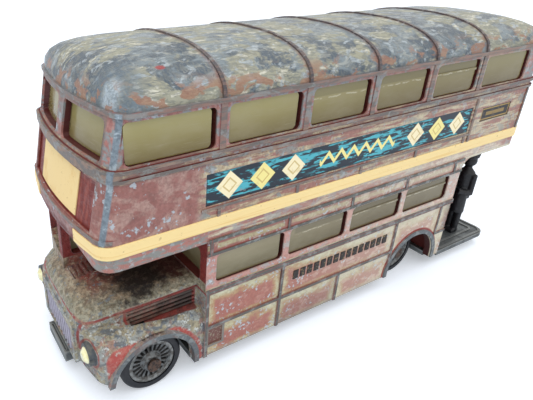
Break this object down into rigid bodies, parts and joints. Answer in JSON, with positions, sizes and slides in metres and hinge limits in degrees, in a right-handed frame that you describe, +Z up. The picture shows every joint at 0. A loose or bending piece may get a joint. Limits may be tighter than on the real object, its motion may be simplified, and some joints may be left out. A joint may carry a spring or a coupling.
{
  "type": "toy bus",
  "caption": "Worn red die-cast toy double-deck bus with half cab, bonnet, cream band, glazed windows, open rear platform with a standing figure, and free-turning wheels.",
  "frame": {"origin": "on the ground, below the middle of the toy's length and width", "axes": "+X forward to the bonnet, +Y to the nearside where the platform is open, +Z up"},
  "size_m": [0.114, 0.035, 0.0604],
  "materials": {
    "upper_paint": "worn red paint, bare metal on edges, mottled grey roof",
    "lower_paint": "worn red paint, bare metal on beads and edges",
    "cream_plastic": "satin cream moulding",
    "upper_clear": "yellowed clear moulding",
    "lower_clear": "dull yellowed clear moulding",
    "base_metal": "dull bare metal",
    "rivet_metal": "dull peened metal",
    "axle_steel": "rusty steel",
    "hub_metal": "dull cast metal",
    "tyre_rubber": "smooth black",
    "jewel": "polished pale yellow",
    "grille_silver": "dull silver",
    "figure_plastic": "black moulded plastic",
    "interior_plastic": "dull brown moulding",
    "advert_paper": "printed paper, teal with cream and navy shapes",
    "cream_paper": "plain cream paper",
    "dark_print": "worn dark print",
    "black_paper": "black paper with a gold border"
  },
  "bodies": {
    "bus": {"upper_body": "upper_paint", "deck_moulding": "cream_plastic", "lower_body": "lower_paint", "upper_glazing": "upper_clear", "lower_glazing": "lower_clear", "cab_glazing": "lower_clear", "base_plate": "base_metal", "base_rivets": "rivet_metal", "headlamp_left": "jewel", "headlamp_right": "jewel", "radiator_grille": "grille_silver", "conductor_figure": "figure_plastic", "driver_figure": "figure_plastic", "lower_deck_seats": "interior_plastic", "staircase": "interior_plastic", "advert_label_left": "advert_paper", "advert_label_right": "advert_paper", "blind_label_front": "cream_paper", "blind_label_rear": "cream_paper", "side_label_left": "dark_print", "side_label_right": "dark_print", "small_label_left": "black_paper", "small_label_right": "black_paper"},
    "front_axle_rod": {"front_axle": "axle_steel"},
    "rear_axle_rod": {"rear_axle": "axle_steel"},
    "wheel_front_left": {"hub_front_left": "hub_metal", "tyre_front_left": "tyre_rubber"},
    "wheel_front_right": {"hub_front_right": "hub_metal", "tyre_front_right": "tyre_rubber"},
    "wheel_rear_left": {"hub_rear_left": "hub_metal", "tyre_rear_left": "tyre_rubber"},
    "wheel_rear_right": {"hub_rear_right": "hub_metal", "tyre_rear_right": "tyre_rubber"}
  },
  "joints": [
    {"name": "front_axle_turn", "type": "hinge", "parent": "bus", "child": "front_axle_rod", "pos_m": [0.0443, 0, 0.00605], "axis": [0, 1, 0], "continuous": true},
    {"name": "rear_axle_turn", "type": "hinge", "parent": "bus", "child": "rear_axle_rod", "pos_m": [-0.0236, 0, 0.00605], "axis": [0, 1, 0], "continuous": true},
    {"name": "front_left_wheel_spin", "type": "hinge", "parent": "front_axle_rod", "child": "wheel_front_left", "pos_m": [0.0443, 0.014, 0.00605], "axis": [0, 1, 0], "continuous": true},
    {"name": "front_right_wheel_spin", "type": "hinge", "parent": "front_axle_rod", "child": "wheel_front_right", "pos_m": [0.0443, -0.014, 0.00605], "axis": [0, 1, 0], "continuous": true},
    {"name": "rear_left_wheel_spin", "type": "hinge", "parent": "rear_axle_rod", "child": "wheel_rear_left", "pos_m": [-0.0236, 0.0119, 0.00605], "axis": [0, 1, 0], "continuous": true},
    {"name": "rear_right_wheel_spin", "type": "hinge", "parent": "rear_axle_rod", "child": "wheel_rear_right", "pos_m": [-0.0236, -0.0119, 0.00605], "axis": [0, 1, 0], "continuous": true}
  ]
}
